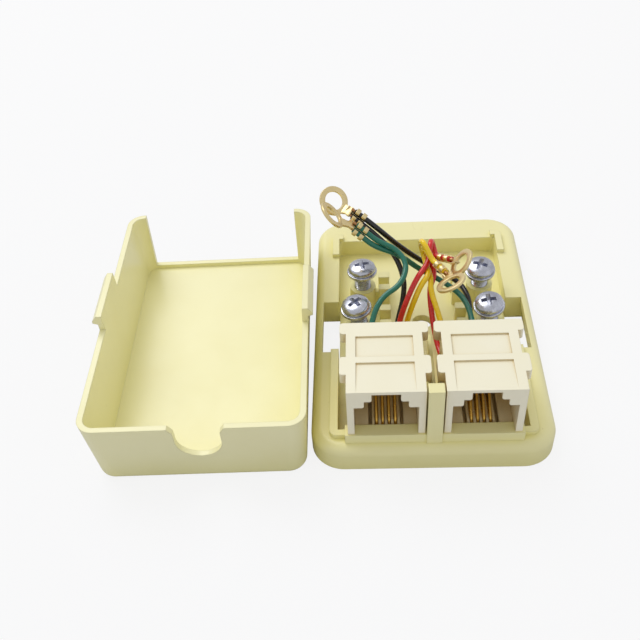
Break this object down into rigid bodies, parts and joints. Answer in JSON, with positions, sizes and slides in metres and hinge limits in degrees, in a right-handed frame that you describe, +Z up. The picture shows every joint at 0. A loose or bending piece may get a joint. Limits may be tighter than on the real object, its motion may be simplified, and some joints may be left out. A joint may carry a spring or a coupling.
{
  "type": "surface mount jack box",
  "caption": "Opened surface mount jack box: a low rectangular base with side-by-side modular plug sockets, terminal screws and joined wires, beside its shallow push-fit cover.",
  "frame": {"origin": "on the mounting surface, under the middle of the base", "axes": "+X to the right-hand jack, -Y the side the plugs enter, +Z up from the mounting surface"},
  "size_m": [0.0776, 0.0619, 0.026],
  "materials": {
    "base_ivory": "smooth semi-gloss moulding",
    "cover_ivory": "smooth semi-gloss moulding",
    "jack_cream": "smooth semi-gloss moulding",
    "contact_gold": "gold-plated wire",
    "screw_zinc": "bright zinc plating",
    "terminal_brass": "pale stamped brass",
    "wire_green": "glossy insulation",
    "wire_black": "glossy insulation",
    "wire_red": "glossy insulation",
    "wire_yellow": "glossy insulation"
  },
  "bodies": {
    "base": {"base": "base_ivory", "left_jack_housing": "jack_cream", "left_contact_carrier": "jack_cream", "left_contact_1": "contact_gold", "left_contact_2": "contact_gold", "left_contact_3": "contact_gold", "left_contact_4": "contact_gold", "right_jack_housing": "jack_cream", "right_contact_carrier": "jack_cream", "right_contact_1": "contact_gold", "right_contact_2": "contact_gold", "right_contact_3": "contact_gold", "right_contact_4": "contact_gold", "green_ring_terminal": "terminal_brass", "black_ring_terminal": "terminal_brass", "red_ring_terminal": "terminal_brass", "yellow_ring_terminal": "terminal_brass", "left_green_wire": "wire_green", "left_black_wire": "wire_black", "left_red_wire": "wire_red", "left_yellow_wire": "wire_yellow", "right_green_wire": "wire_green", "right_black_wire": "wire_black", "right_red_wire": "wire_red", "right_yellow_wire": "wire_yellow"},
    "cover": {"cover": "cover_ivory"},
    "left_rear_washer": {"left_rear_washer": "screw_zinc"},
    "left_rear_screw": {"left_rear_screw": "screw_zinc"},
    "left_front_washer": {"left_front_washer": "screw_zinc"},
    "left_front_screw": {"left_front_screw": "screw_zinc"},
    "right_rear_washer": {"right_rear_washer": "screw_zinc"},
    "right_rear_screw": {"right_rear_screw": "screw_zinc"},
    "right_front_washer": {"right_front_washer": "screw_zinc"},
    "right_front_screw": {"right_front_screw": "screw_zinc"}
  },
  "joints": [
    {"name": "cover_lift", "type": "slide", "parent": "base", "child": "cover", "axis": [0, 0, 1], "range_m": [0, 0.03]},
    {"name": "left_rear_travel", "type": "slide", "parent": "base", "child": "left_rear_washer", "axis": [-0.02, 0.0499, 0.9986], "range_m": [-0.0026, 0.0015]},
    {"name": "left_rear_turn", "type": "hinge", "parent": "left_rear_washer", "child": "left_rear_screw", "pos_m": [-0.011, 0.0085, 0.006], "axis": [-0.02, 0.0499, 0.9986], "range_deg": [-1873, 1081]},
    {"name": "left_front_travel", "type": "slide", "parent": "base", "child": "left_front_washer", "axis": [-0.1288, -0.0495, 0.9904], "range_m": [-0.0026, 0.0015]},
    {"name": "left_front_turn", "type": "hinge", "parent": "left_front_washer", "child": "left_front_screw", "pos_m": [-0.0118, -0.0012, 0.006], "axis": [-0.1288, -0.0495, 0.9904], "range_deg": [-1873, 1081]},
    {"name": "right_rear_travel", "type": "slide", "parent": "base", "child": "right_rear_washer", "axis": [-0.0397, -0.1191, 0.9921], "range_m": [-0.0026, 0.0015]},
    {"name": "right_rear_turn", "type": "hinge", "parent": "right_rear_washer", "child": "right_rear_screw", "pos_m": [0.011, 0.0085, 0.006], "axis": [-0.0397, -0.1191, 0.9921], "range_deg": [-1873, 1081]},
    {"name": "right_front_travel", "type": "slide", "parent": "base", "child": "right_front_washer", "axis": [-0.1087, -0.1087, 0.9881], "range_m": [-0.0026, 0.0015]},
    {"name": "right_front_turn", "type": "hinge", "parent": "right_front_washer", "child": "right_front_screw", "pos_m": [0.0118, -0.0012, 0.006], "axis": [-0.1087, -0.1087, 0.9881], "range_deg": [-1873, 1081]}
  ],
  "couplings": [
    {"joint": "left_rear_turn", "follows": "left_rear_travel", "rad_per_m": 12566},
    {"joint": "left_front_turn", "follows": "left_front_travel", "rad_per_m": 12566},
    {"joint": "right_rear_turn", "follows": "right_rear_travel", "rad_per_m": 12566},
    {"joint": "right_front_turn", "follows": "right_front_travel", "rad_per_m": 12566}
  ]
}
